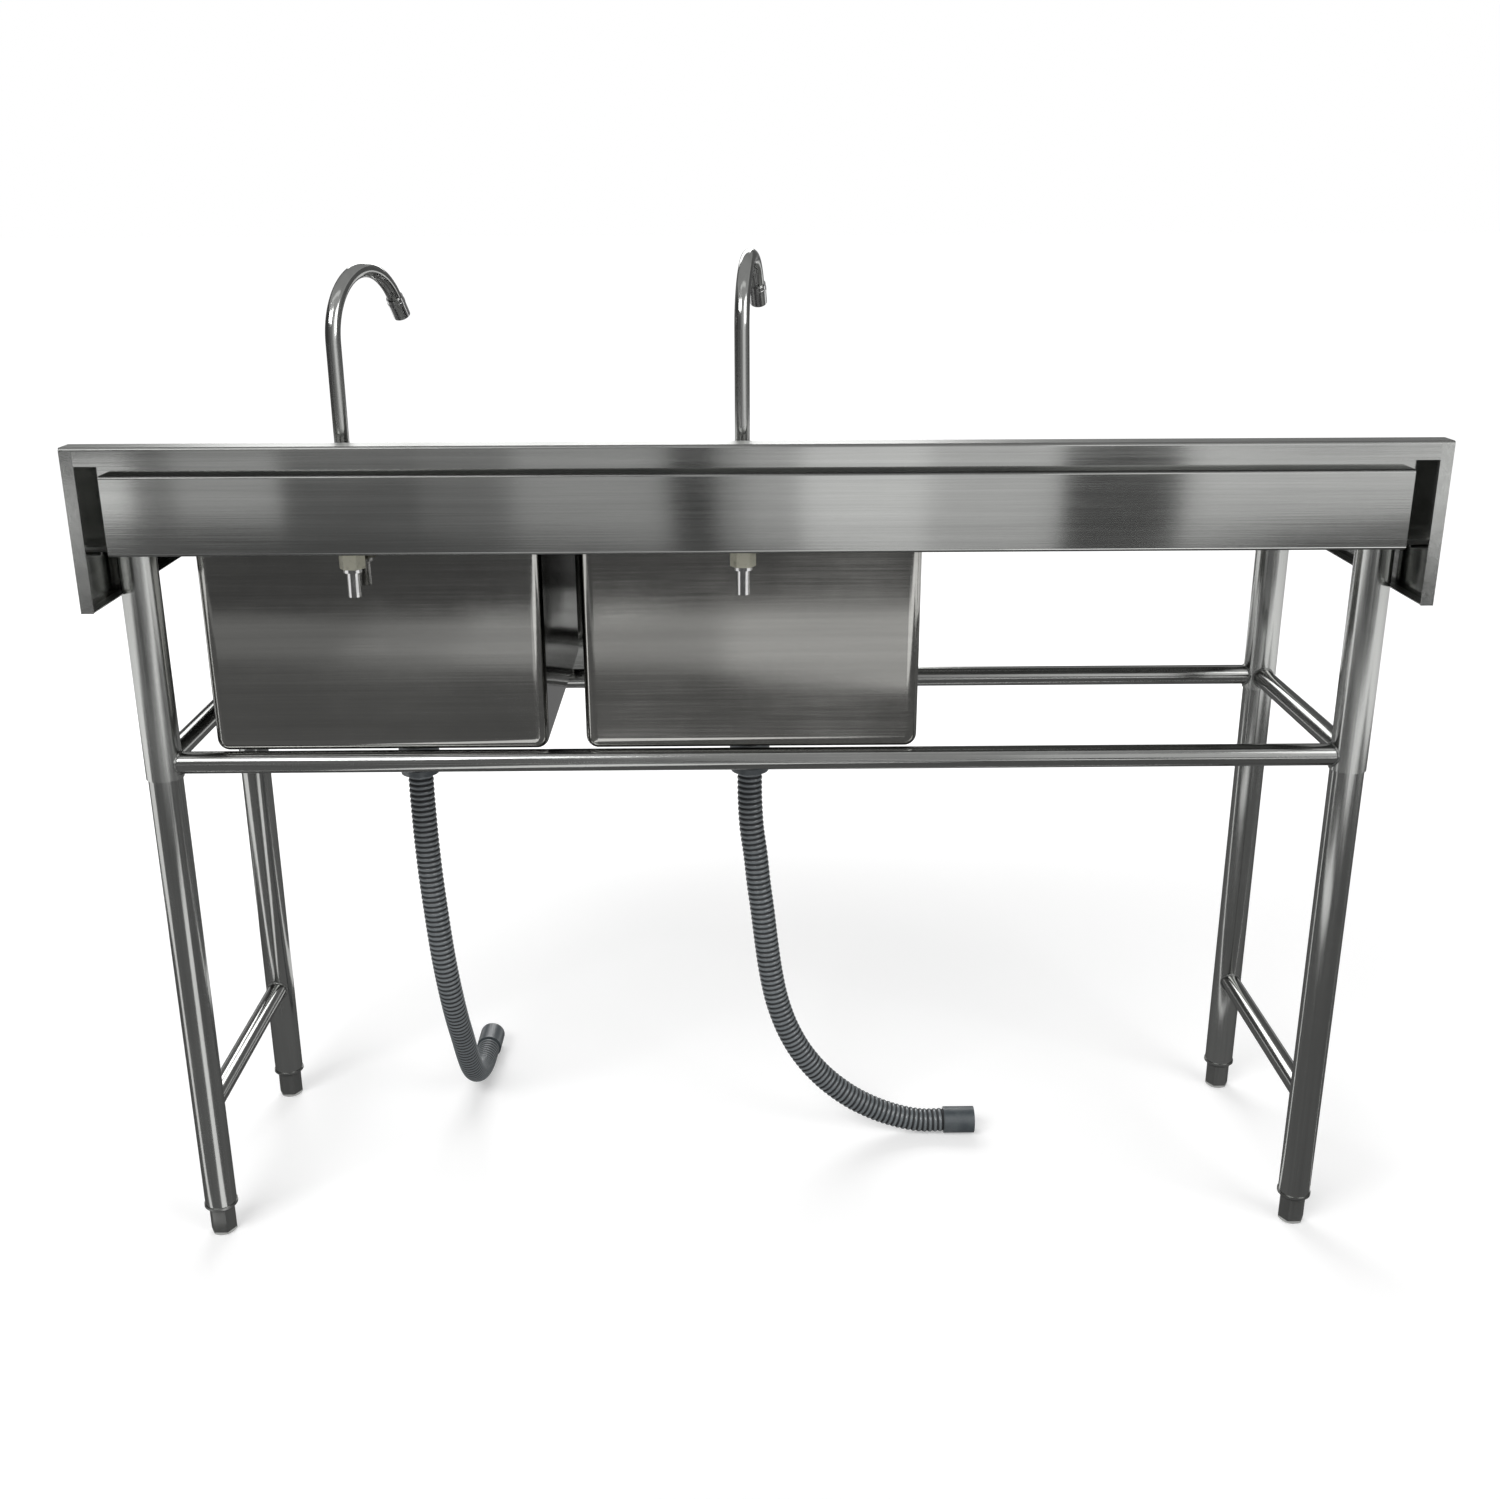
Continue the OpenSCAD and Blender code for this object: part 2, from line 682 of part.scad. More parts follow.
module strainer(x) color(bright_steel) at_drain(x) {
    cup_in = cup_d / 2 - cup_t;
    rotate_extrude() polygon([
        [outlet_bore / 2, outlet_low],
        [outlet_d / 2, outlet_low],
        [outlet_d / 2, cup_low],
        [cup_d / 2 - cup_slope, cup_low],
        [cup_d / 2, cup_low + cup_slope],
        [cup_d / 2, 0],
        [strainer_d / 2, 0],
        [strainer_d / 2 - flange_edge, flange_h],
        [cup_in, flange_h],
        [cup_in, -step_drop],
        [cup_in - step_w, -step_drop],
        [cup_in - step_w, cup_low + cup_t + cup_slope / 2],
        [cup_in - step_w - cup_slope / 2, cup_low + cup_t],
        [outlet_bore / 2, cup_low + cup_t],
    ]);
}

module strainer_gasket(x) color(rubber) at_drain(x) translate([0, 0, -bowl_t - strainer_gasket_h])
    pipe(
        strainer_gasket_h,
        strainer_d - 2 * gasket_inset,
        (strainer_d - cup_d) / 2 - gasket_inset - seat_gap
    );

// Lock ring under the bowl, with grips round its lower edge
module strainer_ring(x) color(dark_steel) at_drain(x)
    translate([0, 0, -bowl_t - strainer_gasket_h - ring_h]) difference() {
        ring_r = strainer_d / 2 - flange_edge;
        cylinder(h = ring_h, r = ring_r);
        translate([0, 0, -1]) cylinder(h = ring_h + 2, d = cup_d + 2 * seat_gap);
        for (k = [1 : grips]) rotate([0, 0, 360 * k / grips]) translate([ring_r, 0, -1])
            cylinder(h = 3 * ring_h / 4, d = grip_d);
    }

module basket_holes(count, r)
    for (k = [1 : count]) rotate([0, 0, 360 * k / count]) translate([r, 0, -basket_h - 1])
        cylinder(h = basket_t + 2, d = basket_hole_d);

// Lift-out basket with a knob, hanging from its rim on the strainer's step
module basket(x) color(chrome) at_drain(x) translate([0, 0, basket_lift - step_drop]) difference() {
    wall_r = basket_d / 2 - basket_inset;
    foot_r = wall_r - basket_slope;
    rim_r = cup_d / 2 - cup_t - basket_gap;
    union() {
        rotate_extrude() polygon([
            [0, -basket_h],
            [foot_r, -basket_h],
            [wall_r, -basket_h + basket_slope],
            [wall_r, 0],
            [rim_r, 0],
            [rim_r, basket_t],
            [wall_r - basket_t, basket_t],
            [wall_r - basket_t, -basket_h + basket_slope + basket_t / 2],
            [foot_r - basket_t / 2, -basket_h + basket_t],
            [0, -basket_h + basket_t],
        ]);
        translate([0, 0, -basket_h]) cylinder(h = basket_h, d = knob_stem_d);
        translate([0, 0, -knob_h / 2]) cylinder(h = knob_h, d = knob_d);
    }
    basket_holes(12, foot_r - basket_hole_d);
    basket_holes(6, foot_r / 2 - 1);
}

// Union nut and spigot that join the hose to the strainer's outlet
module hose_collar(x) color(hose_grey) {
    nut_r = outlet_d / 2 + nut_wall;
    neck_r = hose_d / 2 + collar_wall;
    bore_r = hose_bore / 2 - collar_lip;
    nut_seat = bowl_z - dish_h + bowl_t + outlet_low - seat_gap - collar_z;
    translate([x, bowl_y, collar_z]) rotate_extrude() polygon([
        [bore_r, 0],
        [hose_collar_d / 2, 0],
        [hose_collar_d / 2, collar_flange_h],
        [neck_r, collar_flange_h + collar_wall],
        [neck_r, nut_seat - nut_base - collar_wall],
        [nut_r, nut_seat - nut_base],
        [nut_r, nut_seat + nut_over],
        [outlet_d / 2 + seat_gap, nut_seat + nut_over],
        [outlet_d / 2 + seat_gap, nut_seat],
        [bore_r, nut_seat],
    ]);
}

module left_strainer() strainer(left_bowl_x);
module left_strainer_gasket() strainer_gasket(left_bowl_x);
module left_strainer_ring() strainer_ring(left_bowl_x);
module left_basket() basket(left_bowl_x);
module left_hose_collar() hose_collar(left_bowl_x);
module right_strainer() strainer(right_bowl_x);
module right_strainer_gasket() strainer_gasket(right_bowl_x);
module right_strainer_ring() strainer_ring(right_bowl_x);
module right_basket() basket(right_bowl_x);
module right_hose_collar() hose_collar(right_bowl_x);

// Waste hoses

// Route of the left hose's centre line, from its collar to its cuff
left_route = [
    [8, -27, 542], [8, -27, 505], [6, -27, 465], [1, -27, 425], [-3, -27, 385], [-8, -27, 345],
    [-13, -28, 300], [-19, -29, 255], [-28, -31, 210], [-43, -33, 166], [-64, -36, 126], [-92, -39, 90],
    [-126, -41, 60], [-160, -43, 39], [-194, -44, 25], [-226, -44, 18], [-258, -44, 18],
];
// Route of the right hose's centre line, from its collar to its cuff
right_route = [
    [424, -27, 542], [424, -27, 505], [423, -27, 450], [421, -27, 400], [418, -28, 350], [415, -31, 300],
    [412, -37, 255], [409, -47, 212], [407, -62, 173], [405, -83, 131], [404, -106, 90], [403, -130, 57],
    [402, -158, 35], [401, -190, 22], [400, -222, 18], [400, -255, 18],
];

// Smooth curve through the points of a route, in eight steps a stretch
function mid(p, i, u) = let (
    a = p[max(i - 1, 0)], b = p[i], c = p[i + 1], d = p[min(i + 2, len(p) - 1)]
) 0.5 * (2 * b + (c - a) * u + (2 * a - 5 * b + 4 * c - d) * u * u + (3 * b - a - 3 * c + d) * u * u * u);
function smooth(p) = concat([for (i = [0 : len(p) - 2], k = [0 : 7]) mid(p, i, k / 8)], [p[len(p) - 1]]);
function lengths(p, i = 0, sum = 0) = i == len(p) - 1
    ? [sum]
    : concat([sum], lengths(p, i + 1, sum + norm(p[i + 1] - p[i])));
function at_length(table, s) = [for (axis = table) lookup(s, axis)];

// One ring of eight corners round the point at length s
function ring(table, s, total, r, side) = let (
    p = at_length(table, s),
    t = unit(at_length(table, min(s + 2, total)) - at_length(table, max(s - 2, 0))),
    n = unit(side - (side * t) * t),
    b = cross(t, n)
) [for (k = [0 : 7]) p + r * (cos(45 * k + 22.5) * n + sin(45 * k + 22.5) * b)];

// Triangles between ring i and ring j of one skin
function skin(i, j) = [for (k = [0 : 7]) let (m = (k + 1) % 8)
    each [[8 * i + k, 8 * i + m, 8 * j + m], [8 * i + k, 8 * j + m, 8 * j + k]]];

// A ribbed tube with a plain bore along a route
module ribbed_tube(route, side) {
    p = smooth(route);
    cum = lengths(p);
    table = [for (axis = [0 : 2]) [for (i = [0 : len(p) - 1]) [cum[i], p[i][axis]]]];
    total = cum[len(cum) - 1];
    ribs = floor((total - 2 * rib_pitch) / rib_pitch);
    pitch = total / (ribs + 1);
    outer = [
        for (k = [0 : 2 * ribs + 2])
            ring(table, k * pitch / 2, total, (k % 2 == 0 ? hose_d / 2 - rib_depth : hose_d / 2), side)
    ];
    bores = 2 * len(route);
    inner = [for (k = [0 : bores]) ring(table, total * (bores - k) / bores, total, hose_bore / 2, side)];
    rings = concat(outer, inner);
    n = len(rings);
    echo(length = total, ribs = ribs);
    polyhedron(
        points = [for (r = rings) each r],
        faces = [for (i = [0 : n - 1]) each skin(i, (i + 1) % n)]
    );
}

// Plain cuff at the end of a hose, lying along direction a from the +X axis
module hose_cuff(end, a) color(hose_grey) translate(end) rotate([0, 0, a]) rotate([0, 90, 0]) difference() {
    cylinder(h = cuff_l, d = cuff_d);
    translate([0, 0, -1]) cylinder(h = cuff_l + 2, d = hose_bore);
}

module left_hose() color(hose_grey) ribbed_tube(left_route, [0, 1, 0]);
module right_hose() color(hose_grey) ribbed_tube(right_route, [1, 0, 0]);
module left_hose_cuff() hose_cuff(left_route[len(left_route) - 1], 180);
module right_hose_cuff() hose_cuff(right_route[len(right_route) - 1], -90);

sink_top();
left_side_panel();
right_side_panel();
upstand_channel();
front_skirt();
left_bowl();
right_bowl();
left_end_stiffener();
right_end_stiffener();
drainboard_stiffener();
bowl_edge_stiffener();
rear_left_sleeve();
rear_right_sleeve();
front_left_sleeve();
front_right_sleeve();
rear_rail();
front_rail();
left_side_rail();
right_side_rail();
rear_left_leg();
rear_right_leg();
front_left_leg();
front_right_leg();
left_crossbar();
right_crossbar();
foot_collars();
rear_left_foot();
rear_right_foot();
front_left_foot();
front_right_foot();
left_tap_gasket();
left_tap_body();
left_tap_cartridge();
left_tap_handle();
left_tap_gland();
left_tap_spout();
left_tap_aerator();
left_tap_locknut();
right_tap_gasket();
right_tap_body();
right_tap_cartridge();
right_tap_handle();
right_tap_gland();
right_tap_spout();
right_tap_aerator();
right_tap_locknut();
left_strainer();
left_strainer_gasket();
left_strainer_ring();
left_basket();
left_hose_collar();
right_strainer();
right_strainer_gasket();
right_strainer_ring();
right_basket();
right_hose_collar();
left_hose();
left_hose_cuff();
right_hose();
right_hose_cuff();
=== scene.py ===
"""Looks of the double-bowl pot sink: camera, studio, hoses, weld beads and metal finishes. Metres, +Z up."""

import math

import bpy
from mathutils import Matrix, Vector


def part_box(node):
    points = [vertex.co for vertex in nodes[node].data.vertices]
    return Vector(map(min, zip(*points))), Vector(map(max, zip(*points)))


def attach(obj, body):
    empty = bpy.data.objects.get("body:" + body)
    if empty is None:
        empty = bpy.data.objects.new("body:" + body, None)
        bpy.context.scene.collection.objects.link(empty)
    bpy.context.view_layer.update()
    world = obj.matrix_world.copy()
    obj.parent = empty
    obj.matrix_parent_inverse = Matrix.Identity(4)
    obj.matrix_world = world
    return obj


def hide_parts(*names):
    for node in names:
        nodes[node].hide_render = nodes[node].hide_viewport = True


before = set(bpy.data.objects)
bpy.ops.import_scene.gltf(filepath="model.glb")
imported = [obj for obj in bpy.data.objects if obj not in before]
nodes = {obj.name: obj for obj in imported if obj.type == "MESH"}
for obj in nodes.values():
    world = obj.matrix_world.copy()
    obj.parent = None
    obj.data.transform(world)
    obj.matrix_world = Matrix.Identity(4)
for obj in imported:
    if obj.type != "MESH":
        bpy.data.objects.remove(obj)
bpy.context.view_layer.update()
MM = 0.001

# Camera

CAMERA_AT = Vector((0.0293, 1.867, 1.222))
# How far the camera looks down, is turned about the upright and is tilted, in radians
CAMERA_DOWN = 0.3326
CAMERA_YAW = 0.0114
CAMERA_ROLL = -0.0035
LENS_MM = 38.13
SENSOR_MM = 36


def make_camera():
    """Stands behind the sink, at the photograph's angle."""
    c, s = math.cos(CAMERA_YAW), math.sin(CAMERA_YAW)
    right = Vector((-c, s, 0))
    ahead = Vector((-s * math.cos(CAMERA_DOWN), -c * math.cos(CAMERA_DOWN), -math.sin(CAMERA_DOWN)))
    up = right.cross(ahead)
    r, q = math.cos(CAMERA_ROLL), math.sin(CAMERA_ROLL)
    axes = Matrix((r * right + q * up, r * up - q * right, -ahead)).transposed()
    data = bpy.data.cameras.new("camera")
    data.lens = LENS_MM
    data.sensor_width = SENSOR_MM
    camera = bpy.data.objects.new("camera", data)
    bpy.context.scene.collection.objects.link(camera)
    camera.matrix_world = Matrix.Translation(CAMERA_AT) @ axes.to_4x4()
    bpy.context.scene.camera = camera


make_camera()


# Small tools

def add_mesh(name, verts, faces, material):
    """A smooth mesh object from points and faces, in the row frame."""
    mesh = bpy.data.meshes.new(name)
    mesh.from_pydata([tuple(v) for v in verts], [], faces)
    mesh.validate()
    mesh.polygons.foreach_set("use_smooth", [True] * len(mesh.polygons))
    mesh.materials.append(material)
    piece = bpy.data.objects.new(name, mesh)
    bpy.context.scene.collection.objects.link(piece)
    return piece


def box_centre(name):
    """The middle of a CAD node's box."""
    low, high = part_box(name)
    return (low + high) / 2


def box_radius(name):
    """The radius of an upright round node."""
    low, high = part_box(name)
    return (high.x - low.x) / 2


class Graph:
    """Adds nodes to a tree. An input is a plain value or the output of another node."""

    def __init__(self, tree):
        self.tree = tree

    def plug(self, socket, value):
        if isinstance(value, bpy.types.NodeSocket):
            self.tree.links.new(value, socket)
        else:
            socket.default_value = value

    def node(self, kind, inputs=None, **settings):
        node = self.tree.nodes.new(kind)
        for name, value in settings.items():
            setattr(node, name, value)
        for name, value in (inputs or {}).items():
            self.plug(node.inputs[name], value)
        return node

    def math(self, operation, a, b=0.0):
        return self.node("ShaderNodeMath", {0: a, 1: b}, operation=operation).outputs["Value"]

    def times(self, a, b):
        return self.math("MULTIPLY", a, b)

    def total(self, first, *others):
        for value in others:
            first = self.math("ADD", first, value)
        return first

    def largest(self, first, *others):
        for value in others:
            first = self.math("MAXIMUM", first, value)
        return first

    def remap(self, value, low, high, out_low=0.0, out_high=1.0, smooth=True):
        """Maps low to out_low and high to out_high, in an S curve if smooth, and holds beyond both ends."""
        kind = "SMOOTHSTEP" if smooth else "LINEAR"
        inputs = {"Value": value, "From Min": low, "From Max": high, "To Min": out_low, "To Max": out_high}
        return self.node("ShaderNodeMapRange", inputs, interpolation_type=kind).outputs["Result"]


class Finish(Graph):
    """A material round one Principled shader. Lengths are in metres, along the piece's own axes."""

    def __init__(self, name, **sockets):
        self.material = bpy.data.materials.new(name)
        self.material.use_nodes = True
        super().__init__(self.material.node_tree)
        self.shader = self.tree.nodes["Principled BSDF"]
        self.set(**sockets)
        self.place = self.node("ShaderNodeTexCoord").outputs["Object"]
        self.height = None

    def set(self, **sockets):
        for name, value in sockets.items():
            self.plug(self.shader.inputs[name.replace("_", " ")], value)

    def noise(self, scale, detail=3, rough=0.5):
        """A noise with one scale, or with one for each axis, drawn out along the small ones."""
        scales = scale if isinstance(scale, tuple) else (scale,) * 3
        place = self.node("ShaderNodeMapping", {"Vector": self.place, "Scale": scales}).outputs["Vector"]
        inputs = {"Vector": place, "Scale": 1.0, "Detail": detail, "Roughness": rough}
        return self.node("ShaderNodeTexNoise", inputs).outputs["Fac"]

    def mix(self, amount, a, b):
        """Blends two greys or colours."""
        node = self.node("ShaderNodeMix", {"Factor": amount}, data_type="RGBA")
        for socket, value in ((node.inputs[6], a), (node.inputs[7], b)):
            if isinstance(value, (int, float)):
                value = (value,) * 3
            self.plug(socket, (*value, 1) if isinstance(value, tuple) else value)
        return node.outputs[2]

    def axis(self, letter):
        """The coordinate along one axis."""
        return self.node("ShaderNodeSeparateXYZ", {"Vector": self.place}).outputs[letter]

    def normal(self):
        return self.node("ShaderNodeNewGeometry").outputs["Normal"]

    def facing(self, letter):
        """The surface normal's part along one axis."""
        return self.node("ShaderNodeSeparateXYZ", {"Vector": self.normal()}).outputs[letter]

    def bump(self, height, distance):
        """Adds a height, laid over those already there."""
        inputs = {"Height": height, "Distance": distance}
        if self.height:
            inputs["Normal"] = self.height
        self.height = self.node("ShaderNodeBump", inputs).outputs["Normal"]
        self.set(Normal=self.height)


# Metal finishes

# Grain directions, a little off each axis so that no face lies square across its own grain
AXES = {"X": (1, 0.02, 0.03), "Y": (0.02, 1, 0.03), "Z": (0.02, 0.03, 1)}
# Scales of the brushing, across and along the grain, and of the clouds in it
LINES_SCALE = (620, 5)
BANDS_SCALE = (90, 1.6)
WAVES_SCALE = (3.1, 1.7)
CLOUDS_SCALE = 5
# The stretches of these noises that count
LINES_SPAN = (0.25, 0.75)
LINES_DULL_SPAN = (0.2, 0.8)
CLOUDS_SPAN = (0.3, 0.7)
# The share of the tone that the lines take or give, and then the bands and the clouds
LINES_SHADE = 0.16
CLOUDS_SHADE = 0.07
LINES_HEIGHT = 0.00002
WAVES_HEIGHT = 0.004
# Least and most that the lines and the clouds add to the roughness
LINES_DULL = (-0.05, 0.07)
CLOUDS_DULL = (-0.03, 0.05)
EDGE_TINT = (0.6, 0.6, 0.6, 1)
STEEL_GREEN = 1.012
STEEL_BLUE = 0.985
# A flat face looks along an axis, so the largest part of its normal is past the second of these, and a bend's
# is below the first
BEND_NORMAL = (0.93, 0.99)
# How much painted shade darkens the bends, to hide the highlight along each fold
BEND_PAINTED_SHADE = 0.6
BEND_ROUGHNESS = 0.42
# The upward part of the normal where a top starts and where it is level
TOP_NORMAL = (0.90, 0.98)
TOP_ROUGHNESS = 0.36
# What an upward face counts for as a bowl's inside, so that it is spared the painted shade of the outside,
# and how soft the change to the outside is
INSIDE_UPWARD = 0.2
INSIDE_SOFT = 0.02


def along_grain(axis, scales):
    """Noise scales that draw streaks out along one axis."""
    across, along = scales
    return tuple(along if letter == axis else across for letter in "XYZ")


def on_bends(f):
    """1 on the bends of a folded sheet and 0 on its flat faces."""
    parts = [f.math("ABSOLUTE", f.facing(letter)) for letter in "XYZ"]
    return f.remap(f.largest(*parts), *BEND_NORMAL, 1.0, 0.0)


def on_unshaded_inside(f, middle):
    """1 on the faces that look to a bowl's middle or up, and 0 on those that look away, which take the
    painted shade of the outside.
    """
    towards = [f.times(f.facing(letter), f.math("SUBTRACT", at, f.axis(letter)))
               for letter, at in zip("XY", middle)]
    return f.remap(f.total(*towards, f.times(f.facing("Z"), INSIDE_UPWARD)), -INSIDE_SOFT, INSIDE_SOFT)


def steel(name, axis, tone, roughness, brushing, wave, spread=0.0, warmth=0.0, patchy=1.0, folds=False,
          bulge=None, inside=None):
    """Stainless steel with its grain along one axis.

    brushing is how strong the fine lines are, wave how uneven the sheet is, spread how far the grain smears
    reflections across itself and patchy how much the gloss varies. folds makes the bends dull and rough, as
    the press leaves them, and darker, a painted shade that hides their highlight, and the tops satin, as use
    does.
    bulge, a (height of the middle, lean, swell), stands for a thin wall that leans in and swells a little.
    inside, an (x, y, tone), is a bowl's middle and the tone of its polished inside; tone is then the
    outside's tone, darkened as painted shade.
    """
    f = Finish(name, Metallic=1.0, Specular_Tint=EDGE_TINT)
    lines = f.noise(along_grain(axis, LINES_SCALE), detail=4, rough=0.65)
    bands = f.noise(along_grain(axis, BANDS_SCALE))
    clouds = f.noise(CLOUDS_SCALE, detail=4, rough=0.6)

    shade = LINES_SHADE * brushing
    change = f.total(f.remap(lines, *LINES_SPAN, -shade, shade, False), 1.0,
                     f.remap(bands, *CLOUDS_SPAN, -CLOUDS_SHADE, CLOUDS_SHADE, False),
                     f.remap(clouds, *CLOUDS_SPAN, -CLOUDS_SHADE, CLOUDS_SHADE, False))
    if inside:
        *middle, polished = inside
        # Faces that look away from the middle take the darker tone, a painted shade; the inside and upward
        # faces take the polished one
        inward = on_unshaded_inside(f, middle)
        level = f.times(change, f.remap(inward, 0, 1, tone, polished, False))
    else:
        level = f.times(change, tone)
    if folds:
        bend = on_bends(f)
        # Painted shade: the bends are darkened, which hides their highlight
        level = f.times(level, f.math("SUBTRACT", 1.0, f.times(bend, BEND_PAINTED_SHADE)))
    tint = {"Red": f.times(level, 1 + warmth), "Green": f.times(level, STEEL_GREEN),
            "Blue": f.times(level, STEEL_BLUE - warmth)}
    colour = f.node("ShaderNodeCombineColor", tint).outputs["Color"]
    f.set(Base_Color=f.mix(inward, colour, level) if inside else colour)

    line_dull = f.remap(lines, *LINES_DULL_SPAN, *(patchy * end for end in LINES_DULL), False)
    cloud_dull = f.remap(clouds, *CLOUDS_SPAN, *(patchy * end for end in CLOUDS_DULL), False)
    rough = f.total(line_dull, roughness, cloud_dull)
    if folds:
        worn = f.remap(f.facing("Z"), *TOP_NORMAL, 0.0, TOP_ROUGHNESS)
        rough = f.largest(rough, worn, f.times(bend, BEND_ROUGHNESS))
    f.set(Roughness=rough)

    if spread:
        across = f.node("ShaderNodeVectorMath", {0: f.normal(), 1: AXES[axis]}, operation="CROSS_PRODUCT")
        f.set(Anisotropic=spread, Tangent=across.outputs["Vector"])
    if bulge:
        height, lean, swell = bulge
        up = f.math("SUBTRACT", f.axis("Z"), height)
        f.bump(f.total(f.times(f.times(up, up), -swell), f.times(up, lean)), 1.0)
    f.bump(f.noise(along_grain(axis, WAVES_SCALE), detail=1, rough=0.3), WAVES_HEIGHT * wave)
    f.bump(lines, LINES_HEIGHT * brushing)
    return f


SHEET_TONE = 0.48
LEG_TONE = 0.36
SLEEVE_TONE = 0.44
RAIL_TONE = 0.34
SPOUT_TONE = 0.42
CUP_TONE = 0.22
FOOT_TONE = 0.26
# The bowls' outside tone, darkened as painted shade, and the tone of their polished inside
BOWL_OUTSIDE_PAINTED_SHADE = 0.34
BOWL_INSIDE = 0.62
# Height of the wall's middle, lean and swell
BOWL_BULGE = (0.756, 0.050, 0.17)
# A bowl's tint towards yellow
WARMTH = {"left": 0.02, "right": 0.015}

sheet = steel("brushed_sheet", "X", SHEET_TONE, roughness=0.085, brushing=0.6, wave=1.7, spread=0.4,
              patchy=0.3, folds=True)
panel = steel("brushed_panel", "Y", SHEET_TONE, roughness=0.14, brushing=0.8, wave=1.5, spread=0.6,
              folds=True)
leg_tube = steel("leg_tube", "Z", LEG_TONE, roughness=0.13, brushing=0.5, wave=0.3)
sleeve_tube = steel("sleeve_tube", "Z", SLEEVE_TONE, roughness=0.16, brushing=0.5, wave=0.8)
rail_tube = steel("rail_tube", "X", RAIL_TONE, roughness=0.13, brushing=0.5, wave=0.3)
cross_tube = steel("cross_tube", "Y", RAIL_TONE, roughness=0.13, brushing=0.5, wave=0.3)
neck = steel("satin_spout", "Z", SPOUT_TONE, roughness=0.12, brushing=0.05, wave=0.1, patchy=0.1)
cup_metal = steel("strainer_steel", "Z", CUP_TONE, roughness=0.32, brushing=0.6, wave=0.2)
foot_metal = steel("foot_steel", "Z", FOOT_TONE, roughness=0.38, brushing=0.5, wave=0.2)


def bowl_finish(side):
    """Pressed steel that swells a little, with a polished inside and an outside darkened as painted shade."""
    middle = box_centre(f"{side}_bowl")
    return steel(f"bowl_steel_{side}", "X", BOWL_OUTSIDE_PAINTED_SHADE, roughness=0.09, brushing=0.3, wave=1.3, spread=0.2,
                 warmth=WARMTH[side], bulge=BOWL_BULGE, inside=(middle.x, middle.y, BOWL_INSIDE))


bowls = {f"{side}_bowl": bowl_finish(side) for side in ("left", "right")}


def chrome_finish():
    """Bright chrome plate with faint wipe marks."""
    clean, wiped = 0.55, 0.473
    f = Finish("chrome_plate", Metallic=1.0)
    marks = f.noise(40, detail=4, rough=0.6)
    f.set(Base_Color=f.mix(f.remap(marks, 0.35, 0.7), clean, wiped))
    f.set(Roughness=f.remap(marks, 0.3, 0.75, 0.07, 0.17))
    return f


def brass_finish():
    """Turned brass with fine rings round its axis."""
    dark, light = (0.62, 0.45, 0.17), (0.78, 0.60, 0.27)
    f = Finish("valve_brass", Metallic=1.0, Roughness=0.28)
    rings = f.noise((60, 900, 60))
    f.set(Base_Color=f.mix(rings, dark, light))
    f.bump(rings, 0.00005)
    return f


def rubber_finish():
    """Matte black rubber with a faint dusting."""
    black, dusty = (0.025, 0.025, 0.027), (0.07, 0.07, 0.068)
    f = Finish("black_rubber", Roughness=0.7)
    dust = f.noise(220, detail=5, rough=0.7)
    f.set(Base_Color=f.mix(f.remap(dust, 0.4, 0.8), black, dusty))
    f.bump(dust, 0.0001)
    return f


def ivory_finish():
    """Moulded ivory plastic, slightly dirty in patches."""
    clean, dirty = (0.50, 0.49, 0.40), (0.30, 0.29, 0.23)
    scatter = (0.004, 0.003, 0.002)
    f = Finish("ivory_plastic", Roughness=0.45, Subsurface_Weight=0.1, Subsurface_Radius=scatter)
    dirt = f.noise(130, detail=5, rough=0.65)
    f.set(Base_Color=f.mix(f.remap(dirt, 0.45, 0.8), clean, dirty))
    f.bump(dirt, 0.0001)
    return f


def hose_finish(name, ribbed):
    """Dark blue-grey flexible plastic, paler where it is rubbed; when ribbed, painted shade darkens the
    grooves between the ribs and a painted highlight lightens the crests.
    """
    dark, pale, gritty = (0.040, 0.052, 0.060), (0.085, 0.098, 0.104), (0.13, 0.14, 0.14)
    groove_painted_shade, crest_painted_highlight = (0.006, 0.008, 0.010), (0.22, 0.24, 0.25)
    f = Finish(name, Roughness=0.36, Specular_IOR_Level=0.9)
    rubbed = f.noise(26, detail=4, rough=0.6)
    grit = f.noise(500, rough=0.7)
    tone = f.mix(f.remap(rubbed, 0.35, 0.7), dark, pale)
    tone = f.mix(f.remap(grit, 0.5, 0.8, 0, 0.3), tone, gritty)
    if ribbed:
        crest = f.node("ShaderNodeAttribute", attribute_name="rib").outputs["Fac"]
        # Painted shade in the grooves and a painted highlight on the crests
        tone = f.mix(f.remap(crest, 0.35, 0.95), groove_painted_shade, f.mix(0.6, tone, crest_painted_highlight))
        f.set(Roughness=f.remap(crest, 0.2, 0.9, 0.8, 0.24))
    f.set(Base_Color=tone)
    f.bump(grit, 0.00012)
    return f


chrome = chrome_finish()
brass = brass_finish()
rubber = rubber_finish()
ivory = ivory_finish()
hose_skin = hose_finish("hose_plastic", False)
ribbed_skin = hose_finish("ribbed_plastic", True)


